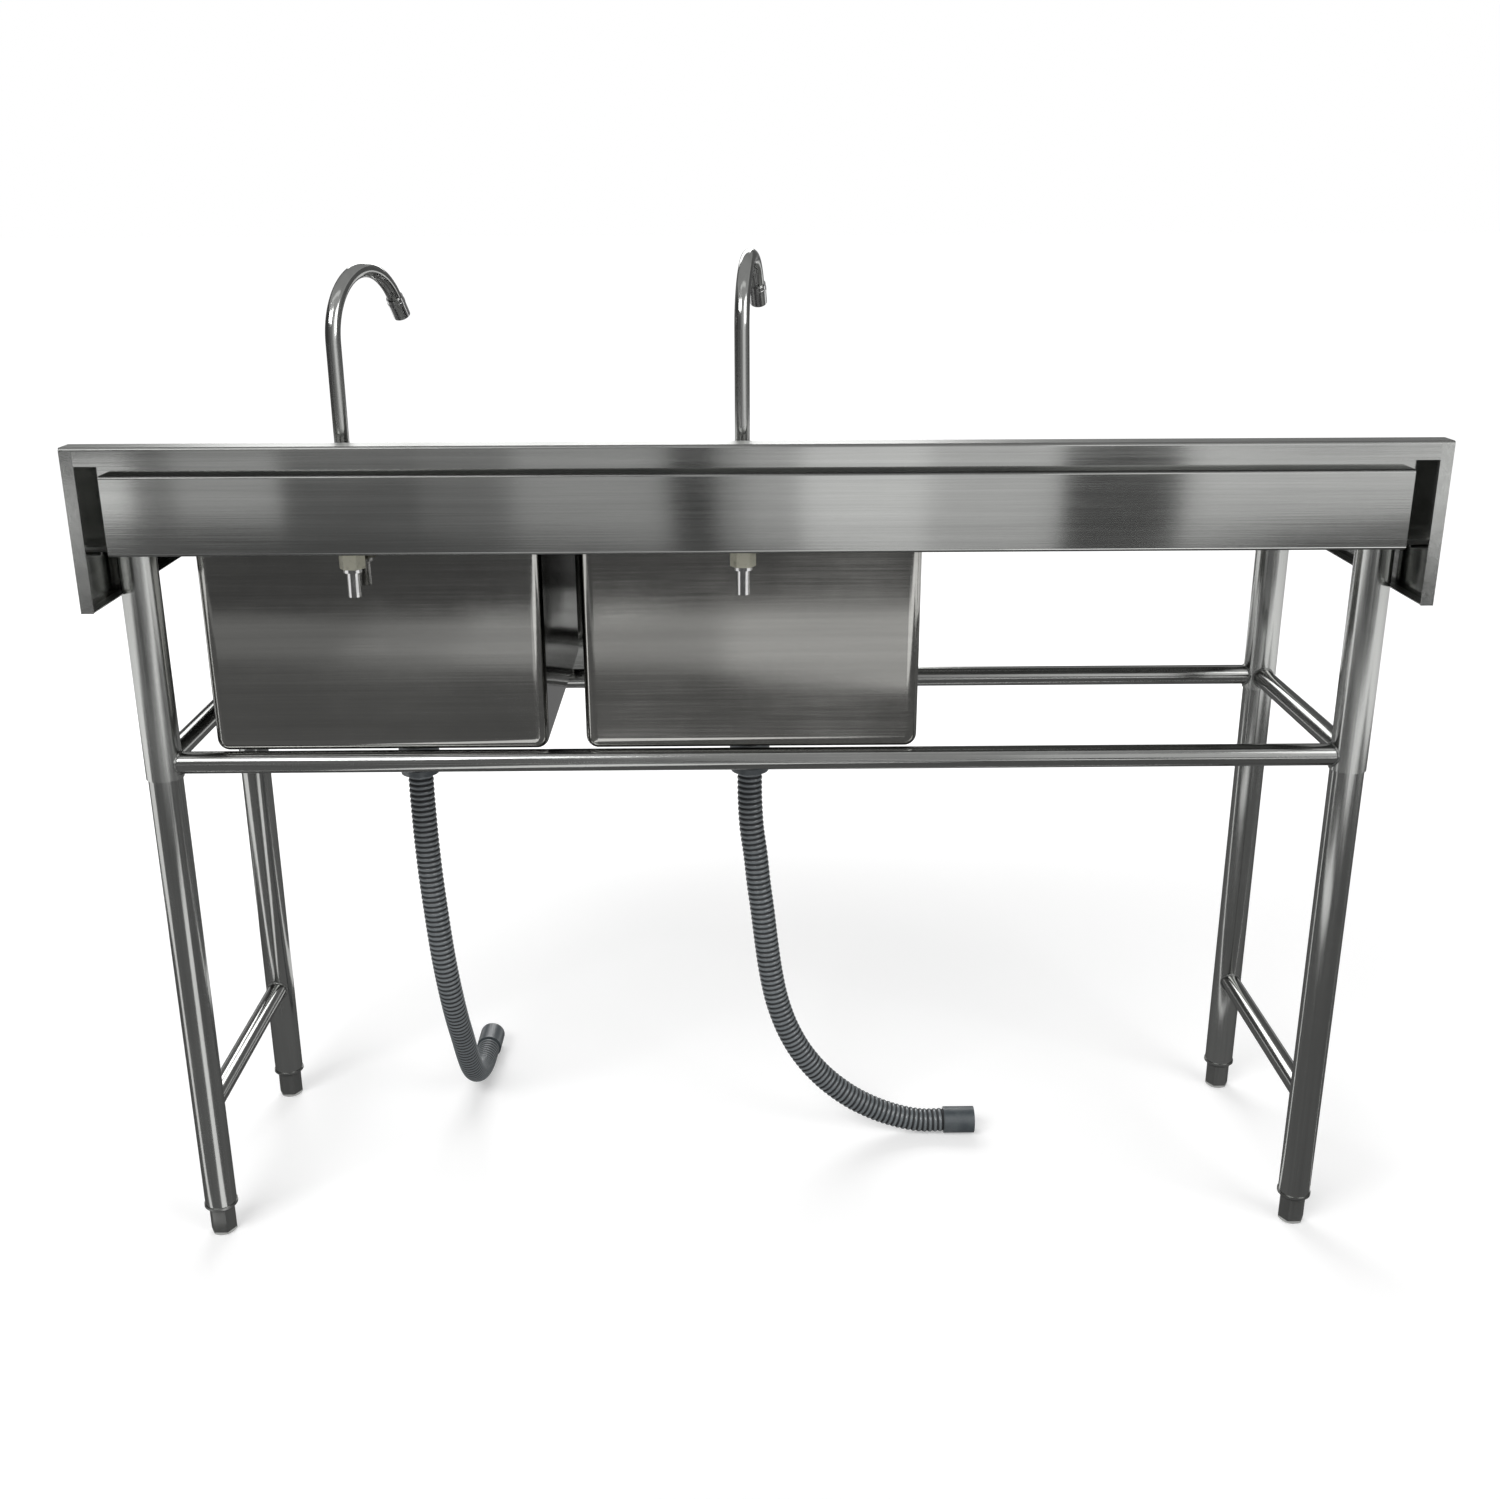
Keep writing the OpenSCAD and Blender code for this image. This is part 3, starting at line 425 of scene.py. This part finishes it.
def finish_for(name):
    """The finish of a CAD node, by what it is."""
    if "gasket" in name:
        return rubber
    if "cartridge" in name:
        return brass
    if "locknut" in name:
        return ivory
    if "hose" in name:
        return hose_skin
    if name.endswith("tap_spout"):
        return neck
    if "_tap_" in name or "basket" in name:
        return chrome
    if "foot" in name or name.endswith("strainer_ring"):
        return foot_metal
    if name.endswith("strainer"):
        return cup_metal
    if name in bowls:
        return bowls[name]
    if "side_rail" in name or "crossbar" in name:
        return cross_tube
    if "rail" in name:
        return rail_tube
    if "sleeve" in name:
        return sleeve_tube
    if "leg" in name:
        return leg_tube
    if "panel" in name or "stiffener" in name:
        return panel
    return sheet


for name, piece in nodes.items():
    for slot in piece.material_slots:
        slot.material = finish_for(name).material

# Waste hoses

HOSE_R = 0.016
HOSE_BORE_R = 0.013
BORE_STEP = 0.01
RIB_DEPTH = 0.0019
RIB_PITCH = 0.0070
# Below 1 the ribs are fuller and the grooves narrower
RIB_POWER = 0.6
RINGS_A_RIB = 8
SIDES = 28
# How far to each side the direction of a line is taken
LOOK = 0.002
# Steps from one point of a route to the next
ROUTE_STEPS = 24
# Routes of the two hoses' centre lines, in millimetres
LEFT_ROUTE = [
    [8, -27, 542], [8, -27, 505], [6, -27, 465], [1, -27, 425], [-3, -27, 385], [-8, -27, 345],
    [-13, -28, 300], [-19, -29, 255], [-28, -31, 210], [-43, -33, 166], [-64, -36, 126], [-92, -39, 90],
    [-126, -41, 60], [-160, -43, 39], [-194, -44, 25], [-226, -44, 18], [-258, -44, 18],
]
RIGHT_ROUTE = [
    [424, -27, 542], [424, -27, 505], [423, -27, 450], [421, -27, 400], [418, -28, 350], [415, -31, 300],
    [412, -37, 255], [409, -47, 212], [407, -62, 173], [405, -83, 131], [404, -106, 90], [403, -130, 57],
    [402, -158, 35], [401, -190, 22], [400, -222, 18], [400, -255, 18],
]


def smooth_line(route):
    """Points on the smooth curve through a route, with their distances along it."""
    p = [Vector(q) * MM for q in route]
    points = []
    for i in range(len(p) - 1):
        a, b, c, d = p[max(i - 1, 0)], p[i], p[i + 1], p[min(i + 2, len(p) - 1)]
        for k in range(ROUTE_STEPS):
            u = k / ROUTE_STEPS
            points.append(0.5 * (2 * b + (c - a) * u + (2 * a - 5 * b + 4 * c - d) * u**2
                                 + (3 * b - a - 3 * c + d) * u**3))
    points.append(p[-1])
    run = [0.0]
    for a, b in zip(points, points[1:]):
        run.append(run[-1] + (b - a).length)
    return points, run


def at_length(points, run, s):
    """The point at distance s along a line."""
    low, high = 0, len(run) - 1
    while high - low > 1:
        mid = (low + high) // 2
        low, high = (mid, high) if run[mid] <= s else (low, mid)
    share = (s - run[low]) / (run[high] - run[low])
    return points[low].lerp(points[high], min(max(share, 0), 1))


def ring_faces(first, second, count):
    """Faces between two rings of points, given by the number of each ring's first point."""
    turns = [(k, (k + 1) % count) for k in range(count)]
    return [(first + k, first + m, second + m, second + k) for k, m in turns]


def swept(name, points, run, side, radius_at, step, material):
    """A round tube along a line, whose radius follows the distance along it."""
    total = run[-1]
    count = round(total / step)
    verts, faces = [], []
    for i in range(count + 1):
        s = total * i / count
        here = at_length(points, run, s)
        ahead = at_length(points, run, min(s + LOOK, total)) - at_length(points, run, max(s - LOOK, 0))
        t = ahead.normalized()
        n = (side - side.dot(t) * t).normalized()
        b = t.cross(n)
        for k in range(SIDES):
            a = 2 * math.pi * k / SIDES
            verts.append(here + radius_at(s) * (math.cos(a) * n + math.sin(a) * b))
        if i:
            faces += ring_faces((i - 1) * SIDES, i * SIDES, SIDES)
    return add_mesh(name, verts, faces, material)


def rib_radius(s):
    """Rounded ribs with narrow grooves between them."""
    wave = 0.5 - 0.5 * math.cos(2 * math.pi * s / RIB_PITCH)
    return HOSE_R - RIB_DEPTH * (1 - wave**RIB_POWER)


def make_hose(side_name, route, side):
    """One ribbed hose with its bore. Its rib attribute is 1 on the crests and 0 in the grooves."""
    points, run = smooth_line(route)
    outer = swept(f"{side_name}_ribbed_hose", points, run, side, rib_radius, RIB_PITCH / RINGS_A_RIB,
                  ribbed_skin.material)
    crest = outer.data.attributes.new("rib", "FLOAT", "POINT")
    rings = len(outer.data.vertices) // SIDES
    shares = [1 - (HOSE_R - rib_radius(run[-1] * i / (rings - 1))) / RIB_DEPTH for i in range(rings)]
    crest.data.foreach_set("value", [share for share in shares for _ in range(SIDES)])
    bore = swept(f"{side_name}_hose_bore", points, run, side, lambda s: HOSE_BORE_R, BORE_STEP,
                 rubber.material)
    bore.parent = outer
    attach(outer, "sink")
    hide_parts(f"{side_name}_hose")
    print(side_name, "hose length", round(run[-1], 4))


make_hose("left", LEFT_ROUTE, Vector((0, 1, 0)))
make_hose("right", RIGHT_ROUTE, Vector((1, 0, 0)))

# Weld beads where the rails and crossbars meet the uprights

BEAD_R = 0.0016
BEAD_STEPS = 96
BEAD_SIDES = 8
BEAD_RIPPLE = 0.14
BEAD_RIPPLES = 16
rail_r = (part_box("rear_rail")[1].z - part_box("rear_rail")[0].z) / 2


def weld_bead(name, centre, along, post_r, tube_r):
    """A rippled bead on the curve where a tube meets an upright post."""
    along = Vector(along)
    side = Vector((-along.y, along.x, 0))
    turns = [2 * math.pi * i / BEAD_STEPS for i in range(BEAD_STEPS)]
    line = []
    for a in turns:
        across, up = tube_r * math.cos(a), tube_r * math.sin(a)
        line.append(centre + along * math.sqrt(post_r**2 - across**2) + side * across + Vector((0, 0, up)))
    verts, faces = [], []
    for i, a in enumerate(turns):
        j = (i + 1) % BEAD_STEPS
        t = (line[j] - line[i - 1]).normalized()
        out = (side * math.cos(a) + Vector((0, 0, math.sin(a)))).normalized()
        n = (out - out.dot(t) * t).normalized()
        b = t.cross(n)
        r = BEAD_R * (1 + BEAD_RIPPLE * math.sin(BEAD_RIPPLES * a))
        for k in range(BEAD_SIDES):
            c = 2 * math.pi * k / BEAD_SIDES
            verts.append(line[i] + r * (math.cos(c) * n + math.sin(c) * b))
        faces += ring_faces(i * BEAD_SIDES, j * BEAD_SIDES, BEAD_SIDES)
    bead = add_mesh(name, verts, faces, cup_metal.material)
    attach(bead, "sink")


for end in ("rear", "front"):
    for side in ("left", "right"):
        sleeve = f"{end}_{side}_sleeve"
        post = box_centre(sleeve)
        inward_x = 1 if side == "left" else -1
        inward_y = -1 if end == "rear" else 1
        post.z = box_centre(f"{end}_rail").z
        weld_bead(f"{sleeve}_rail_weld", post, (inward_x, 0, 0), box_radius(sleeve), rail_r)
        weld_bead(f"{sleeve}_side_rail_weld", post, (0, inward_y, 0), box_radius(sleeve), rail_r)
        leg = f"{end}_{side}_leg"
        foot = box_centre(leg)
        foot.z = box_centre(f"{side}_crossbar").z
        weld_bead(f"{leg}_crossbar_weld", foot, (0, inward_y, 0), box_radius(leg), rail_r)

# Studio

WHITE = (1, 1, 1, 1)
FLOOR_R = 60.0
FLOOR_DROP = 0.0005
FLOOR_GREY = (0.8, 0.8, 0.8, 1)
# The floor's own light where it is mirrored, and where the camera sees it: from a distance to a further one
# from the origin it rises from one level to another, and the two stretches add up
FLOOR_MIRRORED = 0.76
FLOOR_SEEN = ((0.7, 1.6, 0.31, 0.45), (1.6, 5.0, 0.0, 0.33))
WORLD_LIGHT = 0.35
WORLD_SEEN = 1.0
# Name, place, what it looks at, width and height, watts
LAMPS = (
    ("key", (1.8, 2.6, 3.2), (0, 0, 0.7), (2.4, 1.6), 90),
    ("fill", (-2.6, 2.2, 2.2), (0, 0, 0.6), (2.0, 2.0), 40),
    ("front_fill", (0.5, -3.0, 2.6), (0, 0, 0.6), (2.4, 1.6), 60),
)


def seen_directly(g):
    """1 for camera, glossy and transmission rays."""
    path = g.node("ShaderNodeLightPath").outputs
    return g.largest(path["Is Camera Ray"], path["Is Glossy Ray"], path["Is Transmission Ray"])


def camera_lift(g):
    """How much the floor is lifted for the camera: little under the sink, where the lamps do the rest."""
    place = g.node("ShaderNodeNewGeometry").outputs["Position"]
    away = g.node("ShaderNodeVectorMath", {0: place}, operation="LENGTH").outputs["Value"]
    return g.total(*(g.remap(away, *stretch, smooth=False) for stretch in FLOOR_SEEN))


def bare_material(name):
    """A material with an empty tree."""
    material = bpy.data.materials.new(name)
    material.use_nodes = True
    material.node_tree.nodes.clear()
    return material


def make_floor():
    """A pale floor, lifted to white where it is seen, with the sink's shadow on it."""
    material = bare_material("pale_floor")
    g = Graph(material.node_tree)
    diffuse = g.node("ShaderNodeBsdfDiffuse", {"Color": FLOOR_GREY}).outputs["BSDF"]
    camera = g.node("ShaderNodeLightPath").outputs["Is Camera Ray"]
    mirrored = g.times(seen_directly(g), FLOOR_MIRRORED)
    lift = g.node("ShaderNodeMix", {"Factor": camera, "A": mirrored, "B": camera_lift(g)}).outputs["Result"]
    glow = g.node("ShaderNodeEmission", {"Color": WHITE, "Strength": lift}).outputs["Emission"]
    both = g.node("ShaderNodeAddShader", {0: diffuse, 1: glow}).outputs["Shader"]
    g.node("ShaderNodeOutputMaterial", {"Surface": both})
    corners = [(-FLOOR_R, -FLOOR_R, 0), (FLOOR_R, -FLOOR_R, 0), (FLOOR_R, FLOOR_R, 0), (-FLOOR_R, FLOOR_R, 0)]
    floor = add_mesh("floor", corners, [(0, 1, 2, 3)], material)
    floor.location.z = -FLOOR_DROP


def make_world():
    """White where it is seen, and a softer level for the light it gives."""
    world = bpy.data.worlds.new("studio")
    bpy.context.scene.world = world
    world.use_nodes = True
    g = Graph(world.node_tree)
    back = g.tree.nodes["Background"]
    g.plug(back.inputs["Color"], WHITE)
    g.plug(back.inputs["Strength"], g.remap(seen_directly(g), 0, 1, WORLD_LIGHT, WORLD_SEEN, smooth=False))


def softbox(name, at, aim, size, power):
    """A rectangular lamp that looks at a point."""
    data = bpy.data.lights.new(name, "AREA")
    data.shape = "RECTANGLE"
    data.size, data.size_y = size
    data.energy = power
    lamp = bpy.data.objects.new(name, data)
    bpy.context.scene.collection.objects.link(lamp)
    lamp.location = at
    lamp.rotation_mode = "QUATERNION"
    lamp.rotation_quaternion = (Vector(aim) - Vector(at)).to_track_quat("-Z", "Y")


def grey_card(name, level, corners):
    """A board that only reflections see, like a flag round metal in a studio. Level 1 is white."""
    material = bare_material(name)
    g = Graph(material.node_tree)
    glow = g.node("ShaderNodeEmission", {"Color": (level, level, level, 1)}).outputs["Emission"]
    g.node("ShaderNodeOutputMaterial", {"Surface": glow})
    card = add_mesh(name, corners, [tuple(range(len(corners)))], material)
    card.visible_camera = False
    card.visible_diffuse = False
    card.visible_shadow = False
    card.visible_transmission = False


def upright_card(name, level, start, stop, foot, top):
    """A grey card that stands over the line between two places on the floor, from one height to another."""
    grey_card(name, level, [(*start, foot), (*stop, foot), (*stop, top), (*start, top)])


make_floor()
make_world()
for lamp in LAMPS:
    softbox(*lamp)

# Cards on the floor, by level and corners. The first two leave a bare wedge from the right rear leg backwards
CARD_LIFT = 0.004
FLOOR_CARDS = (
    (0.18, ((0.62, 0.20), (-0.42, 1.19), (-0.42, 1.22), (-2.60, 1.22), (-2.60, 0.20))),
    (0.21, ((0.66, 0.20), (0.27, 1.22), (2.90, 1.22), (2.75, 0.86))),
    (0.18, ((-2.60, 1.22), (2.90, 1.22), (2.90, 2.05), (1.00, 1.95), (0.35, 1.92), (-0.45, 1.70),
            (-2.60, 1.66))),
    (0.20, ((-2.60, 0.20), (1.50, 0.20), (1.90, -0.30), (0.95, -0.70), (-0.64, 0.13))),
    (0.23, ((-2.60, 0.20), (-0.66, 0.12), (0.75, -0.80), (0.95, -1.10), (-2.60, -1.10))),
    (0.25, ((1.90, -0.35), (2.60, -1.10), (1.05, -1.10), (1.00, -0.75))),
    (0.36, ((0.95, 1.94), (0.95, 2.45), (3.20, 2.45), (3.20, 2.05))),
    (0.55, ((0.68, 1.93), (0.68, 2.55), (0.95, 2.45), (0.95, 1.94))),
    (0.65, ((0.36, 1.92), (0.36, 2.80), (0.68, 2.50), (0.68, 1.93))),
    (0.60, ((0.05, 1.84), (0.05, 2.65), (0.36, 2.50), (0.36, 1.92))),
    (0.90, ((-0.60, 1.69), (-0.60, 2.75), (0.05, 2.65), (0.05, 1.84))),
    (0.12, ((-3.20, 2.75), (-3.20, 4.29), (3.20, 4.29), (3.20, 2.45), (0.90, 2.45), (0.50, 2.65),
            (0.00, 2.60))),
    (0.25, ((-2.20, -2.45), (2.20, -2.45), (2.20, -1.10), (-2.20, -1.10))),
    (0.12, ((0.00, -4.10), (2.20, -4.10), (2.20, -2.95), (0.00, -2.95))),
)
for i, (level, corners) in enumerate(FLOOR_CARDS):
    grey_card(f"floor_card_{i}", level, [(x, y, CARD_LIFT) for x, y in corners])

# Low boards behind the camera and in front of the sink, by level and the x of both ends
BOARD_Y = 4.3
BOARD_TOP = 0.42
LOW_BOARDS = (
    (0.85, -2.60, -1.60), (0.10, -1.60, -1.16), (0.75, -1.16, -0.64), (1.00, -0.64, -0.20),
    (0.60, -0.20, 0.00), (0.40, 0.00, 0.10), (0.02, 0.10, 0.26), (0.50, 0.26, 0.75),
    (0.26, 0.75, 1.08), (0.18, 1.08, 1.64), (0.55, 1.64, 2.04), (0.30, 2.04, 2.20),
)
# A dark skirting and two top trims before the boards behind the camera
FACING_Y = BOARD_Y - 0.01
SKIRTING_LEVEL = 0.15
SKIRTING_X = 3.2
SKIRTING_TOP = 0.04
TRIM_FOOT = 0.35
TRIMS = ((0.45, -2.60, -1.60), (0.40, 0.75, 1.64))

upright_card("skirting", SKIRTING_LEVEL, (-SKIRTING_X, FACING_Y), (SKIRTING_X, FACING_Y), 0, SKIRTING_TOP)
for i, (level, left, right) in enumerate(LOW_BOARDS):
    for sign in (-1, 1):
        y = sign * BOARD_Y
        upright_card(f"low_board_{i}_{sign + 1}", level, (left, y), (right, y), 0, BOARD_TOP)
for i, (level, left, right) in enumerate(TRIMS):
    upright_card(f"trim_{i}", level, (left, FACING_Y), (right, FACING_Y), TRIM_FOOT, BOARD_TOP)

# A ring of taller boards above them, by level and the turns of both ends from +Y towards +X in degrees
RING_R = 4.4
RING_TOP = 3.4
TALL_BOARDS = (
    (0.08, 60, 118), (0.14, 26, 60), (0.28, 3, 26), (0.50, -14, 3), (0.62, -62, -46), (0.24, -95, -62),
    (0.16, -140, -95), (0.30, 118, 146), (0.12, 146, 172), (0.40, 172, 195), (0.22, 195, 220),
)
PARTS_A_BOARD = 6
# A band above the ring
BAND_LEVEL = 0.50
BAND_TOP = 6.5
BAND_SIDES = 24


def curved_card(name, level, start, stop, parts, foot, top):
    """Upright cards side by side on the ring, from one turn to another in degrees."""
    turns = [math.radians(start + (stop - start) * k / parts) for k in range(parts + 1)]
    places = [(RING_R * math.sin(turn), RING_R * math.cos(turn)) for turn in turns]
    for k, (here, there) in enumerate(zip(places, places[1:])):
        upright_card(f"{name}_{k}", level, here, there, foot, top)


for i, (level, start, stop) in enumerate(TALL_BOARDS):
    curved_card(f"tall_board_{i}", level, start, stop, PARTS_A_BOARD, BOARD_TOP, RING_TOP)
curved_card("upper_band", BAND_LEVEL, 0, 360, BAND_SIDES, RING_TOP, BAND_TOP)

# Two cards overhead, by level and the y of both ends
CEILING_X = 2.4
CEILING_Z = 3.2
CEILING_CARDS = ((0.45, -2.6, 0.9), (0.55, 1.3, 2.3))
for i, (level, front, back) in enumerate(CEILING_CARDS):
    ends = ((-CEILING_X, front), (CEILING_X, front), (CEILING_X, back), (-CEILING_X, back))
    grey_card(f"ceiling_card_{i}", level, [(x, y, CEILING_Z) for x, y in ends])

bpy.context.scene.view_settings.view_transform = "Standard"
